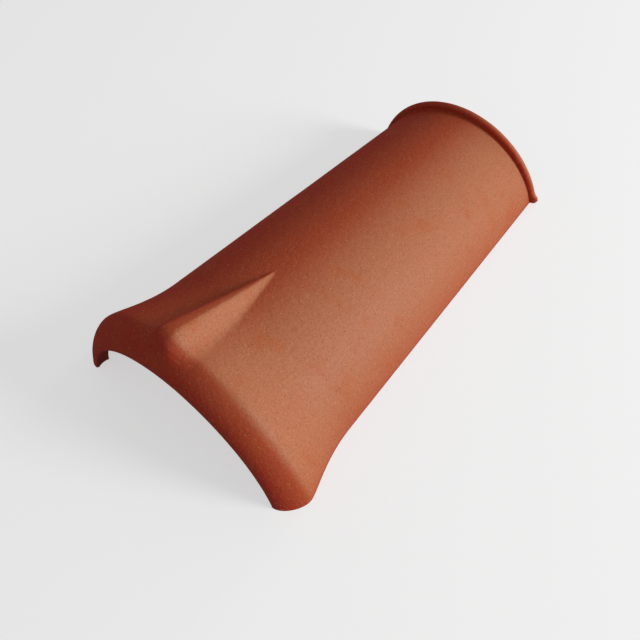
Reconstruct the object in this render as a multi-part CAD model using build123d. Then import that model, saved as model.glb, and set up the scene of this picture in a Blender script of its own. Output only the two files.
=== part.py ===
from build123d import *
import math
import os

# A pressed clay ridge tile, lying on its two feet as it would on a level floor.
# X runs across the ridge, Y along it with the flared socket at -Y, and Z is up.
# The feet stand at z = 0 and the origin is at the middle of the footprint.
# All sizes are in millimetres.

# Barrel: a straight cone whose axis runs level, below the feet
LENGTH = 420.0
AXIS_DEPTH = 27.2
FRONT_RADIUS = 116.5
REAR_RADIUS = 95.0
WALL = 13.0

# Socket: the flare, its crest and the lip that turns down in front
FLARE_LENGTH = 67.5
FLARE_START_PULL = 0.53
FLARE_END_PULL = 0.12
CREST_SETBACK = 22.4
CREST_RISE = 11.4
LIP_DROP = 21.6
LIP_PULL = 0.43
LIP_THICKNESS = 14.0
LIP_HOLLOW = 1.6
LIP_FACE = 2.8
LIP_EDGE_RADIUS = 1.6
SOCKET_WALL = 13.0
SOCKET_CORNER_RADIUS = 4.0
SOCKET_FLAT = 14.0
SOCKET_TAPER = 26.0

# Rim: the stop at the other end, centred above the barrel so that it is tallest on top. Its two
# roundings take up no more than a share of its width.
RIM_WIDTH = 7.2
RIM_HEIGHT = 3.3
RIM_LIFT = 4.8
RIM_FRONT_RADIUS = 4.0
RIM_BACK_RADIUS = 2.6
RIM_ROUND_SHARE = 0.95

# Bead: the rounded lump of clay at the right foot of the rim
BEAD_REACH = 3.6
BEAD_HEIGHT = 9.0
BEAD_LENGTH = 7.0

# Nose: the half cone on the crown of the socket, tallest above the crest
NOSE_LENGTH = 106.0
NOSE_HEIGHT = 12.9
NOSE_SHOULDER = 12.0
NOSE_TAIL_PULL = 53.0
NOSE_TAIL_RISE = 8.6
NOSE_HALF_WIDTH = 29.0
NOSE_TAPER = 0.8
NOSE_FOOT_PULL = 0.42
NOSE_TOP_PULL = 0.23
NOSE_SINK = 0.8
NOSE_TIP = 3.0

# Where the nose's cross sections lie: shares of its length from the tail, and shares of the
# lip's curve with the height and width that are left there
NOSE_STATIONS = (0.2, 0.36, 0.52, 0.68, 0.84, 1.0)
NOSE_FRONT = ((0.15, 0.88, 0.94), (0.32, 0.56, 0.82), (0.48, 0.24, 0.68), (0.64, -0.02, 0.5))

# How often a search along a curve is halved
HALVINGS = 40

FRONT_Y = -LENGTH / 2
REAR_Y = LENGTH / 2
CREST_Y = FRONT_Y + CREST_SETBACK
FLARE_Y = CREST_Y + FLARE_LENGTH
BARREL_SLOPE = (REAR_RADIUS - FRONT_RADIUS) / LENGTH
AXIS = Axis((0, 0, -AXIS_DEPTH), (0, 1, 0))


def barrel_radius(y):
    """Outer radius of the plain barrel at a place along the tile."""
    return FRONT_RADIUS + BARREL_SLOPE * (y - FRONT_Y)


def at(y, radius):
    """A point of the long section, on the crown."""
    return (0, y, radius - AXIS_DEPTH)


CREST_RADIUS = barrel_radius(CREST_Y) + CREST_RISE
MOUTH_RADIUS = CREST_RADIUS - LIP_DROP
SOCKET_RADIUS = CREST_RADIUS - SOCKET_WALL


def crown_edges():
    """The outside of the long section, from the far end to the edge of the mouth."""
    barrel = Line(at(REAR_Y, REAR_RADIUS), at(FLARE_Y, barrel_radius(FLARE_Y)))
    flare_start = FLARE_START_PULL * FLARE_LENGTH
    flare_end = FLARE_END_PULL * FLARE_LENGTH
    flare = Bezier(
        at(FLARE_Y, barrel_radius(FLARE_Y)),
        at(FLARE_Y - flare_start, barrel_radius(FLARE_Y - flare_start)),
        at(CREST_Y + flare_end, CREST_RADIUS),
        at(CREST_Y, CREST_RADIUS),
    )
    drop = LIP_DROP - LIP_FACE
    lip = Bezier(
        at(CREST_Y, CREST_RADIUS),
        at(CREST_Y - LIP_PULL * CREST_SETBACK, CREST_RADIUS),
        at(FRONT_Y, CREST_RADIUS - drop + LIP_PULL * drop),
        at(FRONT_Y, CREST_RADIUS - drop),
    )
    return barrel, flare, lip


def inner_edges():
    """The inside of the long section, from the edge of the mouth to the far end."""
    lip_back = FRONT_Y + LIP_THICKNESS
    flat_end = lip_back + SOCKET_FLAT
    taper_end = flat_end + SOCKET_TAPER
    face = Line(at(FRONT_Y, MOUTH_RADIUS + LIP_FACE), at(FRONT_Y, MOUTH_RADIUS))
    mouth = ThreePointArc(
        at(FRONT_Y, MOUTH_RADIUS),
        at(FRONT_Y + LIP_THICKNESS / 2, MOUTH_RADIUS + LIP_HOLLOW),
        at(lip_back, MOUTH_RADIUS),
    )
    step = Line(at(lip_back, MOUTH_RADIUS), at(lip_back, SOCKET_RADIUS))
    flat = Line(at(lip_back, SOCKET_RADIUS), at(flat_end, SOCKET_RADIUS))
    bore_start = at(taper_end, barrel_radius(taper_end) - WALL)
    taper = Line(at(flat_end, SOCKET_RADIUS), bore_start)
    bore = Line(bore_start, at(REAR_Y, REAR_RADIUS - WALL))
    end = Line(at(REAR_Y, REAR_RADIUS - WALL), at(REAR_Y, REAR_RADIUS))
    return face, mouth, step, flat, taper, bore, end


def corner(section, y, radius):
    """The corner of a long section nearest to a place."""
    return section.vertices().sort_by_distance(at(y, radius))[0]


def shell():
    """Barrel, flare and lip in one turned wall."""
    lip_back = FRONT_Y + LIP_THICKNESS
    section = make_face([*crown_edges(), *inner_edges()])
    section = fillet(corner(section, FRONT_Y, MOUTH_RADIUS), LIP_EDGE_RADIUS)
    section = fillet(corner(section, lip_back, MOUTH_RADIUS), LIP_EDGE_RADIUS)
    section = fillet(corner(section, lip_back, SOCKET_RADIUS), SOCKET_CORNER_RADIUS)
    return revolve(section, AXIS, 360)


def rim():
    """The raised stop round the far end."""
    axis_height = RIM_LIFT - AXIS_DEPTH
    low = REAR_RADIUS - WALL / 2
    high = REAR_RADIUS + RIM_HEIGHT
    front = REAR_Y - RIM_WIDTH
    outline = Polyline(
        (0, front, low + axis_height),
        (0, front, high + axis_height),
        (0, REAR_Y, high + axis_height),
        (0, REAR_Y, low + axis_height),
        close=True,
    )
    section = make_face(outline)
    top = high + axis_height
    fit = min(1.0, RIM_ROUND_SHARE * RIM_WIDTH / (RIM_FRONT_RADIUS + RIM_BACK_RADIUS))
    section = fillet(section.vertices().sort_by_distance((0, front, top))[0], fit * RIM_FRONT_RADIUS)
    section = fillet(section.vertices().sort_by_distance((0, REAR_Y, top))[0], fit * RIM_BACK_RADIUS)
    return revolve(section, Axis((0, 0, axis_height), (0, 1, 0)), 360)


def nose_section(place, forward, height, half_width):
    """One cross section of the nose: a rounded ridge that runs out into the wall on both sides."""
    plane = Plane(origin=place, x_dir=(1, 0, 0), z_dir=forward)
    radius = place.Z + AXIS_DEPTH
    foot = -half_width**2 / (2 * radius) - NOSE_SINK
    handle = NOSE_FOOT_PULL * half_width
    handle_foot = -handle**2 / (2 * radius) - NOSE_SINK
    top = NOSE_TOP_PULL * half_width
    right = Bezier((half_width, foot), (handle, handle_foot), (top, height), (0, height))
    left = Bezier((0, height), (-top, height), (-handle, handle_foot), (-half_width, foot))
    base = Line((-half_width, foot), (half_width, foot))
    return plane * make_face([right, left, base])


def ridge_line():
    """The top of the nose, from above the crest down to its tail on the barrel."""
    tail = CREST_Y + NOSE_LENGTH
    top = CREST_RADIUS + NOSE_HEIGHT
    return Bezier(
        at(CREST_Y, top),
        at(CREST_Y + NOSE_SHOULDER, top),
        at(tail - NOSE_TAIL_PULL, barrel_radius(tail - NOSE_TAIL_PULL) + NOSE_TAIL_RISE),
        at(tail, barrel_radius(tail)),
    )


def point_at(edge, y):
    """The point and direction of a crown edge at a place along the tile."""
    start, end = edge.position_at(0).Y, edge.position_at(1).Y
    low, high = 0.0, 1.0
    for _ in range(HALVINGS):
        middle = (low + high) / 2
        if (edge.position_at(middle).Y - y) * (start - end) > 0:
            low = middle
        else:
            high = middle
    return edge.position_at(low), edge.tangent_at(low)


def nose():
    """The half cone on the crown, which rounds down in front with the lip."""
    barrel, flare, lip = crown_edges()
    ridge = ridge_line()
    tail = CREST_Y + NOSE_LENGTH
    end, forward = point_at(barrel, tail + NOSE_TIP)
    sections = [nose_section(end, forward, -NOSE_SINK / 2, NOSE_TIP)]
    for share in NOSE_STATIONS:
        y = tail - share * NOSE_LENGTH
        place, forward = point_at(flare if y < FLARE_Y else barrel, y)
        top, _ = point_at(ridge, y)
        sections.append(nose_section(place, forward, top.Z - place.Z, NOSE_HALF_WIDTH * share**NOSE_TAPER))
    for share, height, width in NOSE_FRONT:
        place = lip.position_at(share)
        sections.append(nose_section(place, lip.tangent_at(share), NOSE_HEIGHT * height, NOSE_HALF_WIDTH * width))
    return loft(sections)


def bead():
    """The rounded lump at the right foot of the rim, cut level with the feet."""
    radius = REAR_RADIUS + RIM_HEIGHT
    foot = math.sqrt(radius**2 - (RIM_LIFT - AXIS_DEPTH) ** 2)
    ball = scale(Sphere(1), (2 * BEAD_REACH, BEAD_LENGTH / 2, BEAD_HEIGHT / 2))
    return Pos(foot - BEAD_REACH, REAR_Y - BEAD_LENGTH / 2, BEAD_HEIGHT / 2) * ball


def ridge_tile():
    """The whole tile, cut level through its feet."""
    block = Box(2 * LENGTH, 2 * LENGTH, LENGTH, align=(Align.CENTER, Align.CENTER, Align.MIN))
    tile = (shell() + rim()) & block
    return tile + nose() + (bead() & block)


tile = ridge_tile()
os.makedirs("parts", exist_ok=True)
export_step(tile, "parts/ridge_tile.step")
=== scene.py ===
import math

import bpy
import numpy as np
from bpy.props import FloatProperty, FloatVectorProperty, IntProperty, PointerProperty
from mathutils import Matrix, Vector


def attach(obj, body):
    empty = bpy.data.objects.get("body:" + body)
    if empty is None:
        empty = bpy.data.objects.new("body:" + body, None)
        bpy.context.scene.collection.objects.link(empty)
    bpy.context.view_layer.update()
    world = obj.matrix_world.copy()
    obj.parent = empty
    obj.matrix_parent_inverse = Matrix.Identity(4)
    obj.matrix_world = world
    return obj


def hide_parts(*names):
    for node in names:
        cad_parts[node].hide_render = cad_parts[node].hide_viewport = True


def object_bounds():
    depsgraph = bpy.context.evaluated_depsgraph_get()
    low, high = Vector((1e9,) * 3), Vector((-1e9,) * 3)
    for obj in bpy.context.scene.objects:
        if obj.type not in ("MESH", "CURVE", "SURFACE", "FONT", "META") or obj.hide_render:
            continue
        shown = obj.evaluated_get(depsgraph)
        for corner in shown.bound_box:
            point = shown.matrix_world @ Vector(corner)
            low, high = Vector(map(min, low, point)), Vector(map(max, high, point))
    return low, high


bl_info = {
    "name": "Clay ridge tile",
    "version": (1, 0, 0),
    "blender": (4, 5, 0),
    "location": "3D View > Sidebar > Ridge Tile",
    "description": "Builds a pressed clay ridge tile with its socket, nose and rim, and a stage for it",
    "category": "Add Mesh",
}

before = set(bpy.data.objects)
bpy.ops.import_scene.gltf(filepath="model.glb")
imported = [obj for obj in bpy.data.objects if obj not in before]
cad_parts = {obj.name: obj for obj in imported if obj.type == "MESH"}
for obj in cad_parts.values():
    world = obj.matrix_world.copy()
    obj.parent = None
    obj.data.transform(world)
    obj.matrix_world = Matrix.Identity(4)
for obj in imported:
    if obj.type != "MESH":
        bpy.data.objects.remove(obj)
CAD_LOW, CAD_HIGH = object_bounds()

MM = 0.001


def linear(hex_code):
    """The linear red, green and blue of an sRGB hex colour."""
    values = (int(hex_code[n : n + 2], 16) / 255 for n in (0, 2, 4))
    return tuple(v / 12.92 if v <= 0.04045 else ((v + 0.055) / 1.055) ** 2.4 for v in values)


def size(name, millimetres, description):
    """A length that a user may change, written in millimetres and kept in metres."""
    return FloatProperty(
        name=name,
        description=description,
        default=millimetres * MM,
        unit="LENGTH",
        subtype="DISTANCE",
        precision=5,
    )


def share(name, default, description):
    """A part of one that a user may change."""
    return FloatProperty(name=name, description=description, default=default, min=0.0, subtype="FACTOR")


def number(name, default, description):
    """A plain number that a user may change."""
    return FloatProperty(name=name, description=description, default=default)


def angle(name, degrees, description):
    """An angle that a user may change, written in degrees and kept in radians."""
    return FloatProperty(
        name=name,
        description=description,
        default=math.radians(degrees),
        unit="ROTATION",
        subtype="ANGLE",
    )


def colour(name, hex_code, description):
    """A colour that a user may change, written as sRGB hex and kept linear."""
    return FloatVectorProperty(
        name=name,
        description=description,
        default=linear(hex_code),
        min=0.0,
        max=1.0,
        size=3,
        subtype="COLOR",
    )


class RidgeTileBody(bpy.types.PropertyGroup):
    """The long section of the tile, which is turned round an axis below the feet."""

    length: size("Length", (CAD_HIGH.y - CAD_LOW.y) / MM, "From the socket's mouth to the rim's end")
    axis_depth: size("Axis depth", 27.2, "How far the axis of the round lies below the feet")
    front_radius: size("Front radius", 116.5, "Outside radius that the barrel would have at the mouth")
    rear_radius: size("Rear radius", 95.0, "Outside radius of the barrel at the far end")
    wall: size("Wall", 13.0, "Thickness of the barrel's clay")
    end_edge: size("End edge", 0.9, "Rounding of the inner edge of the far end")


class RidgeTileSocket(bpy.types.PropertyGroup):
    """The flared end, which laps over the rim of the next tile."""

    flare_length: size("Flare length", 67.5, "From the barrel to the crest of the flare")
    flare_start: share("Flare start", 0.53, "How long the flare keeps the barrel's direction")
    flare_end: share("Flare end", 0.12, "How long the flare runs level into the crest")
    crest_setback: size("Crest setback", 22.4, "From the mouth back to the crest")
    crest_rise: size("Crest rise", 11.4, "How far the crest stands above the barrel's line")
    lip_drop: size("Lip drop", 21.6, "From the crest down to the edge of the mouth")
    lip_round: share("Lip round", 0.43, "How full the round of the lip is, 0.55 being a quarter circle")
    lip_face: size("Lip face", 2.8, "Upright strip above the edge of the mouth")
    lip_thickness: size("Lip thickness", 14.0, "Depth of the lip along the tile")
    lip_hollow: size("Lip hollow", 1.6, "How far the inside of the lip is hollowed")
    lip_edge: size("Lip edge", 1.6, "Rounding of the two edges of the mouth")
    wall: size("Socket wall", 13.0, "Thickness of the clay above the groove")
    groove_corner: size("Groove corner", 4.0, "Rounding at the back of the lip")
    groove_length: size("Groove length", 14.0, "Level part of the groove behind the lip")
    taper_length: size("Taper length", 26.0, "From the groove back to the bore")


class RidgeTileRim(bpy.types.PropertyGroup):
    """The raised stop round the far end, and the bead of clay at its right foot."""

    width: size("Width", 7.2, "Length of the rim along the tile")
    height: size("Height", 3.3, "How far the rim's own circle stands outside the barrel")
    lift: size("Lift", 4.8, "How far the rim's centre lies above the barrel's")
    front_round: size("Front round", 4.0, "Rounding of the rim's front edge")
    back_round: size("Back round", 2.6, "Rounding of the rim's back edge")
    base_round: size("Base round", 0.7, "Rounding where the rim meets the barrel")
    bead_reach: size("Bead reach", 3.6, "How far the bead stands out from the rim's foot")
    bead_level: size("Bead level", 4.4, "Height of the bead's tip above the floor")
    bead_spread: size("Bead spread", 3.4, "Half height of the bead where it has faded to a third")


class RidgeTileNose(bpy.types.PropertyGroup):
    """The half cone on the crown of the socket."""

    length: size("Length", 109.0, "From the crest back to the tail on the barrel")
    height: size("Height", 12.9, "Height above the crest")
    shoulder: size("Shoulder", 12.0, "How long the top stays level behind the crest")
    tail_pull: size("Tail pull", 53.0, "Where the top's curve is pulled to, ahead of the tail")
    tail_rise: size("Tail rise", 8.6, "Height of that place above the barrel")
    half_width: size("Half width", 30.0, "Half the width at the foot, on the crest")
    taper: share("Taper", 0.8, "Power by which the width falls towards the tail")
    sharpness: number("Sharpness", 4.7, "Power of the right half: a higher one widens its hollow")
    front_fade: share("Front fade", 0.7, "Share of the lip's curve over which the nose dies away")
    left_width: share("Left width", 0.7, "The left half's width as a share of the right one's")
    left_flatness: number("Left flatness", 4.0, "Power of the left half: a higher one gives a steeper side")
    front_narrowing: share("Front narrowing", 1.1, "How much the nose narrows down the lip")


class FiredClay(bpy.types.PropertyGroup):
    """Colours and relief of the fired clay."""

    body_colour: colour("Body", "B04A2A", "Main colour of the fired clay")
    # Painted highlight: this paler colour stands on the faces turned to the light, and shows faintly in
    # random patches
    painted_highlight_and_patch_colour: colour("Pale", "B87350", "Painted highlight: paler colour on faces turned to the light, also in faint pale patches")
    warm_colour: colour("Warm", "B8561F", "More orange clay in faint patches")
    # Painted shade: this redder, darker colour stands on the faces turned away from the light
    painted_shade_colour: colour("Deep", "B2321C", "Painted shade: darker, redder colour on faces turned away from the light")
    pale_grit: colour("Pale grit", "DDB091", "Grains of burnt lime and quartz")
    dark_grit: colour("Dark grit", "4A211A", "Grains of iron ore")
    wave_size: size("Wave size", 55.0, "Width of the slow waves that pressing and firing leave")
    wave_depth: size("Wave depth", 0.3, "Depth of those waves")
    peel_size: size("Peel size", 5.0, "Width of the small hollows of the pressed skin")
    peel_depth: size("Peel depth", 0.12, "Depth of those hollows")
    sand_size: size("Sand size", 1.7, "Width of the bumps that the sand makes in the skin")
    sand_depth: size("Sand depth", 0.26, "Height of those bumps")
    grit_size: size("Grit size", 0.36, "Radius of the largest grains")
    grit_spacing: size("Grit spacing", 18.0, "Usual distance between two grains of one kind")
    seed: IntProperty(name="Seed", description="Seed of the grains and of the waves", default=7, min=0)


class PhotoStage(bpy.types.PropertyGroup):
    """Camera, lamps and floor."""

    azimuth: angle("Azimuth", 42.18, "Camera's turn round the tile")
    elevation: angle("Elevation", 48.32, "Camera's angle above the floor")
    roll: angle("Roll", -3.51, "Camera's lean")
    distance: size("Distance", 690.7, "From the camera to the point that it is aimed at")
    aim: FloatVectorProperty(
        name="Aim",
        description="Point that the camera is aimed at",
        default=(-0.0018, -0.0233, 0.0257),
        size=3,
        subtype="XYZ",
        unit="LENGTH",
    )
    lens: number("Lens", 42.45, "Focal length in millimetres on a 36 mm sensor")
    shift_y: number("Shift", -0.0703, "Vertical shift of the photograph's crop")
    key_strength: number("Key", 54.0, "Power of the key lamp, in watts")
    back_strength: number("Back", 13.0, "Power of the lamp behind, in watts")
    world_strength: number("World", 0.25, "Strength of the light all round")
    background: share("Background", 0.8, "Brightness of the pale ground behind the tile, 1 being white")


MATH = "ShaderNodeMath"
NODE_STEP = 180

# Stage: where the lamps stand, seen from the tile, and the floor. FLOOR_LIT is the share of its
# colour that the floor shows by the lamps' light alone.
KEY_DIRECTION = (0.86, 0.34, 0.36)
BACK_DIRECTION = (0.0, 0.98, 0.18)
KEY_DISTANCE = 2.6
KEY_WIDTH = 1.1
BACK_WIDTH = 1.0
FLOOR_WIDTH = 8.0
FLOOR_COLOUR = "B4B4B4"
FLOOR_LIT = 0.5

# Outline: how finely it is cut, and how many points its curves have
CORNER_STEP = 0.6 * MM
CORNER_STEPS = 3
OUTSIDE_STEP = 2.0 * MM
INSIDE_STEP = 5.0 * MM
FLARE_POINTS = 40
LIP_POINTS = 30
HOLLOW_POINTS = 9
SEARCH_POINTS = 80
GENTLE = 2.0
MOUTH_EDGE = 1.0 * MM
BEAD_DEPTH = 0.25

# Turning: the columns from foot to foot, which stand closer over the crown, and the feet's edges
COLUMNS = 161
CROWN_SHARE = 0.6
WELD = 0.01 * MM
FOOT_EDGE = 0.8 * MM
FOOT_SEGMENTS = 2
FOOT_ANGLE = math.radians(50)

# Clay: how low the skin may reach, how flat and how small a grain is, the lit side by which light
# and shade are painted into the colour, and the finest patterns
FLOOR_LIMIT = (-FLOOR_WIDTH, -FLOOR_WIDTH, 0.2 * MM)
GRIT_PROUD = 0.4
GRIT_SMALLEST = 0.45
GRIT_SHADE = 0.7
GRIT_PATTERN = 3.0 * MM
# Painted light and shade: faces turned to this side are painted paler, faces turned away redder
PAINTED_LIGHT_SIDE = (0.64, 0.32, 0.7)
PATTERN_DETAIL = 2.0
SPECK_STRENGTH = 0.5
SPECK_CORE = 1 / 3
PIT_DEPTH = 0.3 * MM
SAND_ROUGHNESS = 0.6


def add_node(tree, kind, links=None, **settings):
    """Adds a node, sets its properties, and links or fills its inputs."""
    node = tree.nodes.new(kind)
    node.location = (NODE_STEP * len(tree.nodes), 0)
    for name, value in settings.items():
        setattr(node, name, value)
    for socket, value in (links or {}).items():
        if isinstance(value, bpy.types.NodeSocket):
            tree.links.new(value, node.inputs[socket])
        else:
            node.inputs[socket].default_value = value
    return node


def set_inputs(modifier, values):
    """Fills a Geometry Nodes modifier's inputs by their names."""
    sockets = {
        item.name: item.identifier
        for item in modifier.node_group.interface.items_tree
        if item.in_out == "INPUT"
    }
    for name, value in values.items():
        modifier[sockets[name]] = value


def new_tree(name, inputs):
    """An empty Geometry Nodes tree with named inputs, and its input node's outputs."""
    tree = bpy.data.node_groups.new(name, "GeometryNodeTree")
    for label, kind in inputs:
        tree.interface.new_socket(label, in_out="INPUT", socket_type="NodeSocket" + kind)
    tree.interface.new_socket("Geometry", in_out="OUTPUT", socket_type="NodeSocketGeometry")
    return tree, tree.nodes.new("NodeGroupInput").outputs


def bezier(points, count):
    """Points along a cubic Bezier curve, both ends among them."""
    t = np.linspace(0.0, 1.0, count)[:, None]
    a, b, c, d = (np.array(point, float) for point in points)
    return (1 - t) ** 3 * a + 3 * (1 - t) ** 2 * t * b + 3 * (1 - t) * t**2 * c + t**3 * d


class LongSection:
    """The places and radii of the long section that its other parts are drawn from."""

    def __init__(self, body, socket):
        self.front, self.rear = -body.length / 2, body.length / 2
        self.front_radius, self.wall = body.front_radius, body.wall
        self.slope = (body.rear_radius - body.front_radius) / body.length
        self.crest = self.front + socket.crest_setback
        self.flare = self.crest + socket.flare_length
        self.crest_radius = self.barrel(self.crest) + socket.crest_rise
        self.mouth = self.crest_radius - socket.lip_drop
        self.groove = self.crest_radius - socket.wall
        drop = socket.lip_drop - socket.lip_face
        self.lip = [
            (self.crest, self.crest_radius),
            (self.crest - socket.lip_round * socket.crest_setback, self.crest_radius),
            (self.front, self.crest_radius - drop * (1 - socket.lip_round)),
            (self.front, self.crest_radius - drop),
        ]

    def barrel(self, y):
        """Outside radius of the plain barrel at a place along the tile."""
        return self.front_radius + self.slope * (y - self.front)

    def outside_count(self, rows):
        """How many rows at the start of an outline come before the edge of the mouth."""
        edge = self.mouth + MOUTH_EDGE
        return next(n for n, (y, radius, _) in enumerate(rows) if y < self.crest and radius < edge)


def rounded(points):
    """Rounds the corners of a closed outline. Each point is (y, radius, lift, corner radius)."""
    out = []
    for n, (y, radius, lift, corner) in enumerate(points):
        place = np.array((y, radius))
        if corner == 0:
            out.append((y, radius, lift))
            continue
        before = np.array(points[n - 1][:2]) - place
        after = np.array(points[(n + 1) % len(points)][:2]) - place
        before /= np.linalg.norm(before)
        after /= np.linalg.norm(after)
        half = math.acos(np.clip(before @ after, -1, 1)) / 2
        middle = before + after
        centre = place + middle / np.linalg.norm(middle) * corner / math.sin(half)
        start = place + before * corner / math.tan(half) - centre
        end = place + after * corner / math.tan(half) - centre
        turn = math.pi - 2 * half
        steps = max(CORNER_STEPS, math.ceil(turn * corner / CORNER_STEP))
        for k in range(steps + 1):
            a = math.sin((1 - k / steps) * turn) / math.sin(turn)
            b = math.sin(k / steps * turn) / math.sin(turn)
            out.append((*(centre + start * a + end * b), lift))
    return np.array(out)


def divided(rows, section):
    """Cuts the long runs of an outline into short ones, finer outside than inside."""
    out = []
    outside = section.outside_count(rows)
    for n, row in enumerate(rows):
        after = rows[(n + 1) % len(rows)]
        step = OUTSIDE_STEP if n < outside else INSIDE_STEP
        pieces = max(1, round(float(np.linalg.norm(after[:2] - row[:2])) / step))
        out.extend(row + (after - row) * k / pieces for k in range(pieces))
    return np.array(out)


def outline(section, body, socket, rim):
    """The closed outline of the wall on the crown, as (y, radius, lift) rows."""
    front, rear, flare, crest = section.front, section.rear, section.flare, section.crest
    mouth, groove, barrel = section.mouth, section.groove, section.barrel
    lip_back = front + socket.lip_thickness
    groove_end = lip_back + socket.groove_length
    bore = groove_end + socket.taper_length
    rim_front = rear - rim.width
    rim_radius = body.rear_radius + rim.height
    start = socket.flare_start * socket.flare_length
    end = socket.flare_end * socket.flare_length
    flare_points = [
        (flare, barrel(flare)),
        (flare - start, barrel(flare - start)),
        (crest + end, section.crest_radius),
        (crest, section.crest_radius),
    ]
    across = np.linspace(-1, 1, HOLLOW_POINTS)[1:-1]
    hollow = mouth + socket.lip_hollow * (1 - across**2)
    along = front + socket.lip_thickness * (1 + across) / 2
    gentle = GENTLE * socket.groove_corner
    points = [
        (rear, body.rear_radius - body.wall, 0, body.end_edge),
        (rear, rim_radius, rim.lift, rim.back_round),
        (rim_front, rim_radius, rim.lift, rim.front_round),
        (rim_front, barrel(rim_front), 0, rim.base_round),
        *[(y, r, 0, 0) for y, r in bezier(flare_points, FLARE_POINTS)],
        *[(y, r, 0, 0) for y, r in bezier(section.lip, LIP_POINTS)[1:]],
        (front, mouth, 0, socket.lip_edge),
        *[(y, r, 0, 0) for y, r in zip(along, hollow)],
        (lip_back, mouth, 0, socket.lip_edge),
        (lip_back, groove, 0, socket.groove_corner),
        (groove_end, groove, 0, gentle),
        (bore, barrel(bore) - body.wall, 0, gentle),
    ]
    return divided(rounded(points), section)


def nose_rows(rows, section, nose):
    """How far the top of the nose pushes out each row of the outline, and its half width there."""
    tail = section.crest + nose.length
    top = section.crest_radius + nose.height
    pull = tail - nose.tail_pull
    ridge = bezier(
        [
            (section.crest, top),
            (section.crest + nose.shoulder, top),
            (pull, section.barrel(pull) + nose.tail_rise),
            (tail, section.barrel(tail)),
        ],
        SEARCH_POINTS,
    )
    lip = bezier(section.lip, SEARCH_POINTS)
    along = np.gradient(lip, axis=0)
    along /= np.linalg.norm(along, axis=1)[:, None]
    push = np.zeros((len(rows), 3))
    width = np.full(len(rows), nose.half_width)
    for n, (y, radius, _) in enumerate(rows[: section.outside_count(rows)]):
        if y >= tail:
            continue
        if y >= section.crest:
            push[n, 2] = max(np.interp(y, ridge[:, 0], ridge[:, 1]) - radius, 0.0)
            width[n] *= ((tail - y) / nose.length) ** nose.taper
            continue
        near = int(np.argmin(np.hypot(lip[:, 0] - y, lip[:, 1] - radius)))
        fall = near / (len(lip) - 1)
        fade = math.cos(min(fall / nose.front_fade, 1.0) * math.pi / 2) ** 2
        push[n] = np.array((0.0, along[near, 1], -along[near, 0])) * nose.height * fade
        width[n] *= 1 - nose.front_narrowing * fall**2
    return push, width


def bead_rows(rows, section, rim):
    """How far each row of the rim's outline is pushed out by the bead at its tip."""
    middle = section.rear - rim.width / 2
    along = (rows[:, 0] - middle) / (rim.width / 2)
    inner = section.barrel(section.rear) - BEAD_DEPTH * section.wall
    on_rim = (np.abs(along) < 1) & (rows[:, 1] > inner)
    return np.where(on_rim, rim.bead_reach * np.sqrt(np.clip(1 - along**2, 0, 1)), 0.0)


def section_object(name, rows, fields, material):
    """The outline as loose points in the crown's plane, with the fields that the tree reads at each."""
    mesh = bpy.data.meshes.new(name)
    mesh.from_pydata([(0.0, y, radius) for y, radius, _ in rows], [], [])
    mesh.materials.append(material)
    for field, values in fields.items():
        vector = values.ndim == 2
        data = mesh.attributes.new(field, "FLOAT_VECTOR" if vector else "FLOAT", "POINT").data
        data.foreach_set("vector" if vector else "value", np.ravel(values))
    item = bpy.data.objects.new(name, mesh)
    bpy.context.scene.collection.objects.link(item)
    return item


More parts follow.
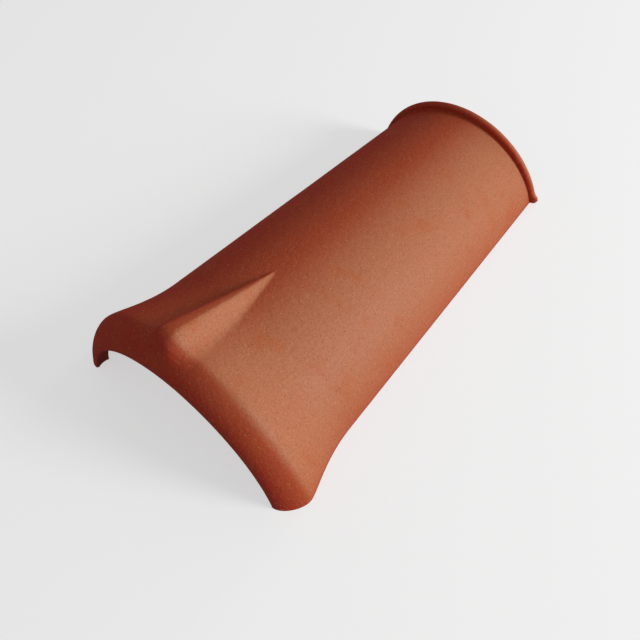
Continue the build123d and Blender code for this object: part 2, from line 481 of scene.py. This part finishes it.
def turned_tree():
    """Turns the points of a long section round a level axis, from foot to foot, and closes both feet."""
    tree, given = new_tree(
        "Turned tile",
        [
            ("Section", "Geometry"),
            ("Rows", "Int"),
            ("Columns", "Int"),
            ("Crown share", "Float"),
            ("Axis depth", "Float"),
            ("Nose sharpness", "Float"),
            ("Left width", "Float"),
            ("Left flatness", "Float"),
            ("Bead level", "Float"),
            ("Bead spread", "Float"),
            ("Clay", "Material"),
        ],
    )
    place = add_node(tree, "GeometryNodeInputPosition").outputs[0]
    index = add_node(tree, "GeometryNodeInputIndex").outputs[0]
    around = add_node(tree, MATH, {0: given["Rows"], 1: 1.0}, operation="ADD").outputs[0]
    grid = add_node(
        tree,
        "GeometryNodeMeshGrid",
        {"Size X": 2.0, "Size Y": 1.0, "Vertices X": given["Columns"], "Vertices Y": around},
    ).outputs["Mesh"]
    row = index
    for count in (around, given["Rows"]):
        row = add_node(tree, MATH, {0: row, 1: count}, operation="MODULO").outputs[0]

    # What each row carries, read by its number
    known = {"depth below feet": given["Axis depth"], "share": given["Crown share"]}
    vectors = {}
    for field in ("place", "nose_push", "lift", "bead", "nose_width"):
        vector = field in ("place", "nose_push")
        value = place
        if field != "place":
            kind = "FLOAT_VECTOR" if vector else "FLOAT"
            value = add_node(
                tree, "GeometryNodeInputNamedAttribute", {"Name": field}, data_type=kind
            ).outputs[0]
        sampled = add_node(
            tree,
            "GeometryNodeSampleIndex",
            {"Geometry": given["Section"], "Value": value, "Index": row},
            data_type="FLOAT_VECTOR" if vector else "FLOAT",
        ).outputs[0]
        (vectors if vector else known)[field] = sampled
    known["radius"] = add_node(tree, "ShaderNodeSeparateXYZ", {0: vectors["place"]}).outputs["Z"]
    known["y"] = add_node(tree, "ShaderNodeSeparateXYZ", {0: vectors["place"]}).outputs["Y"]
    known["u"] = add_node(tree, "ShaderNodeSeparateXYZ", {0: place}).outputs["X"]
    known["sharpness"] = given["Nose sharpness"]
    known["left width"] = given["Left width"]
    known["flatness"] = given["Left flatness"]
    known["level"] = given["Bead level"]
    known["spread"] = given["Bead spread"]

    # u runs from -1 at the left foot to 1 at the right one, and slower over the crown
    for result, operation, a, b in (
        ("depth", "SUBTRACT", "depth below feet", "lift"),
        ("foot cosine", "DIVIDE", "depth", "radius"),
        ("foot turn", "ARCCOSINE", "foot cosine", 0.0),
        ("u squared", "MULTIPLY", "u", "u"),
        ("side share", "SUBTRACT", 1.0, "share"),
        ("sideways", "MULTIPLY", "u squared", "side share"),
        ("pace", "ADD", "sideways", "share"),
        ("way", "MULTIPLY", "pace", "u"),
        ("turn", "MULTIPLY", "way", "foot turn"),
        ("sine", "SINE", "turn", 0.0),
        ("cosine", "COSINE", "turn", 0.0),
        ("x", "MULTIPLY", "radius", "sine"),
        ("height", "MULTIPLY", "radius", "cosine"),
        ("z", "SUBTRACT", "height", "depth"),
        ("left side", "LESS_THAN", "x", 0.0),
        ("side width", "POWER", "left width", "left side"),
        ("nose half", "MULTIPLY", "nose_width", "side width"),
        ("signed way out", "DIVIDE", "x", "nose half"),
        ("way out", "ABSOLUTE", "signed way out", 0.0),
        ("half flatness", "DIVIDE", "flatness", 2.0),
        ("side flatness", "POWER", "half flatness", "left side"),
        ("round", "MULTIPLY", "side flatness", 2.0),
        ("fallen", "POWER", "way out", "round"),
        ("left over", "SUBTRACT", 1.0, "fallen"),
        ("kept", "MAXIMUM", "left over", 0.0),
        ("not left", "SUBTRACT", 1.0, "left side"),
        ("side sharpness", "POWER", "sharpness", "not left"),
        ("ridge", "POWER", "kept", "side sharpness"),
        ("off tip", "SUBTRACT", "z", "level"),
        ("off tip share", "DIVIDE", "off tip", "spread"),
        ("off tip squared", "MULTIPLY", "off tip share", "off tip share"),
        ("fall", "MULTIPLY", "off tip squared", -1.0),
        ("swell", "EXPONENT", "fall", 0.0),
        ("right side", "GREATER_THAN", "x", 0.0),
        ("right bead", "MULTIPLY", "bead", "right side"),
        ("bulge", "MULTIPLY", "right bead", "swell"),
        ("x with bead", "ADD", "x", "bulge"),
    ):
        known[result] = add_node(
            tree, MATH, {0: known.get(a, a), 1: known.get(b, b)}, operation=operation
        ).outputs[0]

    turned = add_node(
        tree, "ShaderNodeCombineXYZ", {"X": known["x with bead"], "Y": known["y"], "Z": known["z"]}
    ).outputs[0]
    pushed = add_node(
        tree, "ShaderNodeVectorMath", {0: vectors["nose_push"], "Scale": known["ridge"]}, operation="SCALE"
    ).outputs[0]
    final = add_node(tree, "ShaderNodeVectorMath", {0: turned, 1: pushed}, operation="ADD").outputs[0]
    wall = add_node(tree, "GeometryNodeSetPosition", {"Geometry": grid, "Position": final}).outputs[0]
    wall = add_node(tree, "GeometryNodeMergeByDistance", {"Geometry": wall, "Distance": WELD}).outputs[0]
    wall = add_node(tree, "GeometryNodeFlipFaces", {"Mesh": wall}).outputs[0]

    # The two open ends of the wall are the feet
    neighbours = add_node(tree, "GeometryNodeInputMeshEdgeNeighbors").outputs[0]
    at_foot = add_node(
        tree, "FunctionNodeCompare", {2: neighbours, 3: 1}, data_type="INT", operation="EQUAL"
    ).outputs[0]
    loops = add_node(tree, "GeometryNodeMeshToCurve", {"Mesh": wall, "Selection": at_foot})
    feet = add_node(tree, "GeometryNodeFillCurve", {"Curve": loops.outputs[0]}, mode="TRIANGLES")
    feet = add_node(tree, "GeometryNodeFlipFaces", {"Mesh": feet.outputs[0]}).outputs[0]
    joined = add_node(tree, "GeometryNodeJoinGeometry")
    for part in (feet, wall):
        tree.links.new(part, joined.inputs[0])
    whole = add_node(
        tree, "GeometryNodeMergeByDistance", {"Geometry": joined.outputs[0], "Distance": WELD}
    ).outputs[0]
    whole = add_node(tree, "GeometryNodeSetShadeSmooth", {"Geometry": whole}).outputs[0]
    whole = add_node(tree, "GeometryNodeRealizeInstances", {"Geometry": whole}).outputs[0]
    whole = add_node(
        tree, "GeometryNodeSetMaterial", {"Geometry": whole, "Material": given["Clay"]}
    ).outputs[0]
    add_node(tree, "NodeGroupOutput", {0: whole})
    return tree


def relief_tree():
    """Cuts slow waves and a pressed skin into the surface, and sets grains of two kinds in it."""
    tree, given = new_tree(
        "Clay relief",
        [
            ("Tile", "Geometry"),
            ("Wave size", "Float"),
            ("Wave depth", "Float"),
            ("Peel size", "Float"),
            ("Peel depth", "Float"),
            ("Grit size", "Float"),
            ("Grit spacing", "Float"),
            ("Painted light side", "Vector"),
            ("Seed", "Int"),
            ("Pale grit", "Material"),
            ("Dark grit", "Material"),
        ],
    )
    place = add_node(tree, "GeometryNodeInputPosition").outputs[0]
    normal = add_node(tree, "GeometryNodeInputNormal").outputs[0]

    # A grain's top stays below the pressed face, so the skin always lies a little deeper than it
    cut = add_node(tree, MATH, {0: given["Grit size"], 1: GRIT_PROUD}, operation="MULTIPLY").outputs[0]
    for layer in ("Wave", "Peel"):
        pattern = add_node(tree, MATH, {0: 1.0, 1: given[layer + " size"]}, operation="DIVIDE").outputs[0]
        noise = add_node(
            tree,
            "ShaderNodeTexNoise",
            {"Vector": place, "W": given["Seed"], "Scale": pattern, "Detail": 1.0},
            noise_dimensions="4D",
        ).outputs[0]
        cut = add_node(
            tree, MATH, {0: noise, 1: given[layer + " depth"], 2: cut}, operation="MULTIPLY_ADD"
        ).outputs[0]
    inward = add_node(tree, MATH, {0: cut, 1: -1.0}, operation="MULTIPLY").outputs[0]
    offset = add_node(
        tree, "ShaderNodeVectorMath", {0: normal, "Scale": inward}, operation="SCALE"
    ).outputs[0]
    # Painted light and shade: how far each face looks to the lit side, read by the clay's colour
    towards_painted_light = add_node(
        tree, "ShaderNodeVectorMath", {0: normal, 1: given["Painted light side"]}, operation="DOT_PRODUCT"
    ).outputs["Value"]
    marked = add_node(
        tree,
        "GeometryNodeStoreNamedAttribute",
        {"Geometry": given["Tile"], "Name": "towards_painted_light", "Value": towards_painted_light},
    ).outputs[0]
    cut_place = add_node(tree, "ShaderNodeVectorMath", {0: place, 1: offset}, operation="ADD").outputs[0]
    above_floor = add_node(
        tree, "ShaderNodeVectorMath", {0: cut_place, 1: FLOOR_LIMIT}, operation="MAXIMUM"
    ).outputs[0]
    skin = add_node(
        tree, "GeometryNodeSetPosition", {"Geometry": marked, "Position": above_floor}
    ).outputs[0]

    spacing = given["Grit spacing"]
    area = add_node(tree, MATH, {0: spacing, 1: spacing}, operation="MULTIPLY").outputs[0]
    density = add_node(tree, MATH, {0: 1.0, 1: area}, operation="DIVIDE").outputs[0]
    grain = add_node(
        tree, "GeometryNodeMeshIcoSphere", {"Radius": given["Grit size"], "Subdivisions": 1}
    ).outputs["Mesh"]
    parts = [skin]
    for n, name in enumerate(("Pale grit", "Dark grit")):
        seed = add_node(tree, MATH, {0: given["Seed"], 1: float(n)}, operation="ADD").outputs[0]
        points = add_node(
            tree, "GeometryNodeDistributePointsOnFaces", {"Mesh": skin, "Density": density, "Seed": seed}
        )
        wide = add_node(
            tree, "FunctionNodeRandomValue", {2: GRIT_SMALLEST, 3: 1.0, "Seed": seed}
        ).outputs[1]
        flat = add_node(tree, MATH, {0: wide, 1: GRIT_PROUD}, operation="MULTIPLY").outputs[0]
        shape = add_node(tree, "ShaderNodeCombineXYZ", {"X": wide, "Y": wide, "Z": flat}).outputs[0]
        grains = add_node(
            tree,
            "GeometryNodeInstanceOnPoints",
            {
                "Points": points.outputs["Points"],
                "Instance": grain,
                "Rotation": points.outputs["Rotation"],
                "Scale": shape,
            },
        ).outputs[0]
        grains = add_node(tree, "GeometryNodeRealizeInstances", {"Geometry": grains}).outputs[0]
        grains = add_node(tree, "GeometryNodeSetMaterial", {"Geometry": grains, "Material": given[name]})
        parts.append(grains.outputs[0])
    joined = add_node(tree, "GeometryNodeJoinGeometry")
    for part in reversed(parts):
        tree.links.new(part, joined.inputs[0])
    add_node(tree, "NodeGroupOutput", {0: joined.outputs[0]})
    return tree


def fired_clay(looks):
    """Pressed and fired terracotta, unglazed."""
    # Iron-rich clay, pressed in a mould and fired without a glaze. The eye sees a dry red-brown
    # face with a soft broad sheen, painted paler on the faces turned to the light and redder on those
    # turned away, faint orange patches, and a sandy skin with tiny pits and specks.
    material = bpy.data.materials.new("fired_terracotta")
    material.use_nodes = True
    tree = material.node_tree
    shader = tree.nodes["Principled BSDF"]
    place = add_node(tree, "ShaderNodeTexCoord").outputs["Object"]

    # Colour: each layer lets another colour show through, by a noise of one size in millimetres, or
    # where the size is 0 by how far the face looks to the lit side, which paints light and shade. The
    # two shares after the size are where the colour starts to show and where it shows most, and the
    # last one is that most.
    # Painted light and shade: the mask of how far each face looks to the lit side
    painted_light_mask = add_node(tree, "ShaderNodeAttribute", attribute_name="towards_painted_light").outputs["Fac"]
    # Painted shade: the colour starts as the redder, darker one, which stays where the face turns away from
    # the light
    tint = (*looks.painted_shade_colour, 1.0)
    for size_mm, low, high, layer, most in (
        # Painted shade and highlight: redder on faces turned away from the light, the body's colour
        # between, paler on faces turned to it
        (0, 0.2, 0.72, looks.body_colour, 1.0),
        (0, 0.7, 0.97, looks.painted_highlight_and_patch_colour, 1.0),
        (90, 0.45, 0.7, looks.painted_highlight_and_patch_colour, 0.1),
        (24, 0.54, 0.7, looks.warm_colour, 0.3),
        (5, 0.5, 0.75, looks.dark_grit, 0.06),
        (1.4, 0.45, 0.7, looks.body_colour, 0.4),
        (1.6, 0.46, 0.72, looks.dark_grit, 0.16),
        (1.9, 0.52, 0.76, looks.pale_grit, 0.15),
    ):
        pattern = painted_light_mask
        if size_mm:
            pattern = add_node(
                tree,
                "ShaderNodeTexNoise",
                {"Vector": place, "W": size_mm, "Scale": 1 / (size_mm * MM), "Detail": PATTERN_DETAIL},
                noise_dimensions="4D",
            ).outputs[0]
        shows = add_node(
            tree,
            "ShaderNodeMapRange",
            {"Value": pattern, "From Min": low, "From Max": high, "To Max": most},
            interpolation_type="SMOOTHSTEP",
        ).outputs[0]
        tint = add_node(
            tree, "ShaderNodeMix", {0: shows, 6: tint, 7: (*layer, 1.0)}, data_type="RGBA"
        ).outputs[2]

    # Specks: some cells of a fine cell pattern hold one dot each. A row gives the cell's width and
    # the dot's radius in millimetres, and the share of cells that hold one.
    for cell_mm, radius_mm, few, layer in (
        (3.1, 0.55, 0.08, looks.pale_grit),
        (2.7, 0.6, 0.3, looks.dark_grit),
    ):
        cells = add_node(tree, "ShaderNodeTexVoronoi", {"Vector": place, "Scale": 1 / (cell_mm * MM)})
        chosen = add_node(tree, "ShaderNodeSeparateColor", {0: cells.outputs["Color"]}).outputs[0]
        chosen = add_node(tree, MATH, {0: chosen, 1: few}, operation="LESS_THAN").outputs[0]
        dot = add_node(
            tree,
            "ShaderNodeMapRange",
            {
                "Value": cells.outputs["Distance"],
                "From Min": radius_mm / cell_mm,
                "From Max": SPECK_CORE * radius_mm / cell_mm,
                "To Max": SPECK_STRENGTH,
            },
        ).outputs[0]
        pits = add_node(tree, MATH, {0: dot, 1: chosen}, operation="MULTIPLY").outputs[0]
        tint = add_node(
            tree, "ShaderNodeMix", {0: pits, 6: tint, 7: (*layer, 1.0)}, data_type="RGBA"
        ).outputs[2]
    tree.links.new(tint, shader.inputs["Base Color"])

    # Relief finer than the mesh: the pits that the dark specks sit in, the sand in the skin, drawn
    # about twice as coarse as real sand so that it shows, and dents three times as wide and twice
    # as deep
    bump = add_node(tree, "ShaderNodeBump", {"Height": pits, "Distance": PIT_DEPTH}, invert=True)
    sand, dent = (looks.sand_size, looks.sand_depth), (3 * looks.sand_size, 2 * looks.sand_depth)
    for size_m, depth in (sand, dent):
        noise = add_node(
            tree,
            "ShaderNodeTexNoise",
            {
                "Vector": place,
                "W": looks.seed,
                "Scale": 1 / size_m,
                "Detail": PATTERN_DETAIL,
                "Roughness": SAND_ROUGHNESS,
            },
            noise_dimensions="4D",
        ).outputs[0]
        bump = add_node(
            tree, "ShaderNodeBump", {"Height": noise, "Distance": depth, "Normal": bump.outputs[0]}
        )
    tree.links.new(bump.outputs[0], shader.inputs["Normal"])
    tree.links.new(bump.outputs[0], shader.inputs["Coat Normal"])

    # The clay itself scatters light evenly. The sheen comes from iron oxide in it, whose high
    # index gives a faint, broad gloss that hardly grows at the edges.
    shader.inputs["Roughness"].default_value = 0.6
    shader.inputs["Specular IOR Level"].default_value = 0.0
    shader.inputs["Coat Weight"].default_value = 0.09
    shader.inputs["Coat IOR"].default_value = 2.4
    shader.inputs["Coat Roughness"].default_value = 0.52
    return material


def grit(name, tint):
    """Grains of one mineral, fired in the clay."""
    # Lime burns to chalk white and iron ore melts to a dark brown. The eye sees hard dull points
    # that catch a little light, each a bit lighter or darker than the next.
    material = bpy.data.materials.new(name)
    material.use_nodes = True
    tree = material.node_tree
    shader = tree.nodes["Principled BSDF"]
    place = add_node(tree, "ShaderNodeTexCoord").outputs["Object"]
    noise = add_node(tree, "ShaderNodeTexNoise", {"Vector": place, "Scale": 1 / GRIT_PATTERN}).outputs[0]
    darker = tuple(GRIT_SHADE * part for part in tint)
    shade = add_node(
        tree, "ShaderNodeMix", {0: noise, 6: (*darker, 1.0), 7: (*tint, 1.0)}, data_type="RGBA"
    ).outputs[2]
    tree.links.new(shade, shader.inputs["Base Color"])
    shader.inputs["Roughness"].default_value = 0.6
    return material


class OBJECT_OT_ridge_tile(bpy.types.Operator):
    """Build the pressed clay tile with its socket, nose, rim and bead"""

    bl_idname = "object.ridge_tile_build"
    bl_label = "Build Ridge Tile"

    def execute(self, context):
        scene = context.scene
        body, socket, rim = scene.tile_body, scene.tile_socket, scene.tile_rim
        nose, looks = scene.tile_nose, scene.tile_clay
        section = LongSection(body, socket)
        rows = outline(section, body, socket, rim)
        push, width = nose_rows(rows, section, nose)
        fields = {
            "lift": rows[:, 2],
            "nose_push": push,
            "nose_width": width,
            "bead": bead_rows(rows, section, rim),
        }
        clay = fired_clay(looks)
        item = section_object("pressed_tile", rows, fields, clay)

        turned = item.modifiers.new("Turned tile", "NODES")
        turned.node_group = turned_tree()
        set_inputs(
            turned,
            {
                "Rows": len(rows),
                "Columns": COLUMNS,
                "Crown share": CROWN_SHARE,
                "Axis depth": body.axis_depth,
                "Nose sharpness": nose.sharpness,
                "Left width": nose.left_width,
                "Left flatness": nose.left_flatness,
                "Bead level": rim.bead_level,
                "Bead spread": rim.bead_spread,
                "Clay": clay,
            },
        )
        edges = item.modifiers.new("Foot edges", "BEVEL")
        edges.width = FOOT_EDGE
        edges.segments = FOOT_SEGMENTS
        edges.angle_limit = FOOT_ANGLE
        relief = item.modifiers.new("Clay relief", "NODES")
        relief.node_group = relief_tree()
        set_inputs(
            relief,
            {
                "Wave size": looks.wave_size,
                "Wave depth": looks.wave_depth,
                "Peel size": looks.peel_size,
                "Peel depth": looks.peel_depth,
                "Grit size": looks.grit_size,
                "Grit spacing": looks.grit_spacing,
                "Painted light side": PAINTED_LIGHT_SIDE,
                "Seed": looks.seed,
                "Pale grit": grit("burnt_lime_grain", looks.pale_grit),
                "Dark grit": grit("iron_ore_grain", looks.dark_grit),
            },
        )
        context.view_layer.update()
        made = bpy.data.meshes.new_from_object(item.evaluated_get(context.evaluated_depsgraph_get()))
        if not made.polygons:
            raise RuntimeError("the turned tile came out empty")
        if made.materials[0] is None:
            made.materials.pop(index=0)
        item.modifiers.clear()
        item.data = made
        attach(item, "root")
        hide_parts("ridge_tile")
        return {"FINISHED"}


def pale_ground(tree):
    """How much of a ray is one that sees the pale ground: from the camera, a gloss or through glass."""
    rays = add_node(tree, "ShaderNodeLightPath").outputs
    seen = rays["Is Camera Ray"]
    for kind in ("Is Glossy Ray", "Is Transmission Ray"):
        seen = add_node(tree, MATH, {0: seen, 1: rays[kind]}, operation="MAXIMUM").outputs[0]
    return seen


class SCENE_OT_tile_stage(bpy.types.Operator):
    """Set up the camera, the key lamp, the light all round and the pale floor"""

    bl_idname = "scene.tile_stage_build"
    bl_label = "Build Stage"

    def execute(self, context):
        scene = context.scene
        stage = scene.tile_stage
        scene.view_settings.view_transform = "Standard"

        turn, rise, lean = stage.azimuth, stage.elevation, stage.roll
        back = Vector((math.sin(turn) * math.cos(rise), -math.cos(turn) * math.cos(rise), math.sin(rise)))
        level = Vector((math.cos(turn), math.sin(turn), 0.0))
        right = level * math.cos(lean) + back.cross(level) * math.sin(lean)
        data = bpy.data.cameras.new("photo_camera")
        data.lens = stage.lens
        data.shift_y = stage.shift_y
        camera = bpy.data.objects.new("photo_camera", data)
        axes = Matrix((right, back.cross(right), back)).transposed().to_4x4()
        camera.matrix_world = Matrix.Translation(Vector(stage.aim) + back * stage.distance) @ axes
        scene.collection.objects.link(camera)
        scene.camera = camera

        for name, direction, width, strength in (
            ("key_lamp", KEY_DIRECTION, KEY_WIDTH, stage.key_strength),
            ("back_lamp", BACK_DIRECTION, BACK_WIDTH, stage.back_strength),
        ):
            lamp = bpy.data.lights.new(name, "AREA")
            lamp.shape = "DISK"
            lamp.size = width
            lamp.energy = strength
            item = bpy.data.objects.new(name, lamp)
            towards = Vector(direction).normalized()
            item.location = towards * KEY_DISTANCE
            item.rotation_euler = towards.to_track_quat("Z", "Y").to_euler()
            scene.collection.objects.link(item)

        world = bpy.data.worlds.new("studio")
        world.use_nodes = True
        tree = world.node_tree
        shader = tree.nodes["Background"]
        shader.inputs["Color"].default_value = (1.0, 1.0, 1.0, 1.0)
        strength = add_node(
            tree,
            "ShaderNodeMapRange",
            {"Value": pale_ground(tree), "To Min": stage.world_strength, "To Max": stage.background},
        ).outputs[0]
        tree.links.new(strength, shader.inputs["Strength"])
        scene.world = world

        # A pale matt board. Its own colour holds the tile's shadow, and what it glows by is seen by
        # the camera and in a gloss, but lights nothing.
        half = FLOOR_WIDTH / 2
        mesh = bpy.data.meshes.new("floor")
        corners = [(-half, -half, 0.0), (half, -half, 0.0), (half, half, 0.0), (-half, half, 0.0)]
        mesh.from_pydata(corners, [], [(0, 1, 2, 3)])
        material = bpy.data.materials.new("pale_floor")
        material.use_nodes = True
        tree = material.node_tree
        shader = tree.nodes["Principled BSDF"]
        grey = linear(FLOOR_COLOUR)
        shader.inputs["Base Color"].default_value = (*grey, 1.0)
        shader.inputs["Roughness"].default_value = 1.0
        shader.inputs["Specular IOR Level"].default_value = 0.0
        shader.inputs["Emission Color"].default_value = (1.0, 1.0, 1.0, 1.0)
        glow = stage.background - FLOOR_LIT * grey[0]
        seen = add_node(tree, MATH, {0: pale_ground(tree), 1: glow}, operation="MULTIPLY").outputs[0]
        tree.links.new(seen, shader.inputs["Emission Strength"])
        mesh.materials.append(material)
        floor = bpy.data.objects.new("floor", mesh)
        scene.collection.objects.link(floor)
        return {"FINISHED"}


GROUPS = (
    ("tile_body", RidgeTileBody),
    ("tile_socket", RidgeTileSocket),
    ("tile_rim", RidgeTileRim),
    ("tile_nose", RidgeTileNose),
    ("tile_clay", FiredClay),
    ("tile_stage", PhotoStage),
)


class VIEW3D_PT_ridge_tile(bpy.types.Panel):
    """The tile's sizes and its two operators, in the sidebar"""

    bl_idname = "VIEW3D_PT_ridge_tile"
    bl_label = "Ridge Tile"
    bl_space_type = "VIEW_3D"
    bl_region_type = "UI"
    bl_category = "Ridge Tile"

    def draw(self, context):
        self.layout.operator(OBJECT_OT_ridge_tile.bl_idname)
        self.layout.operator(SCENE_OT_tile_stage.bl_idname)
        for group, kind in GROUPS:
            box = self.layout.box()
            box.label(text=kind.__doc__)
            for name in kind.__annotations__:
                box.prop(getattr(context.scene, group), name)


CLASSES = (
    *(kind for _, kind in GROUPS),
    OBJECT_OT_ridge_tile,
    SCENE_OT_tile_stage,
    VIEW3D_PT_ridge_tile,
)


def register():
    for kind in CLASSES:
        bpy.utils.register_class(kind)
    for name, kind in GROUPS:
        setattr(bpy.types.Scene, name, PointerProperty(type=kind))


def unregister():
    for name, _ in GROUPS:
        delattr(bpy.types.Scene, name)
    for kind in reversed(CLASSES):
        bpy.utils.unregister_class(kind)


def main():
    register()
    bpy.ops.scene.tile_stage_build()
    bpy.ops.object.ridge_tile_build()


if __name__ == "__main__":
    main()
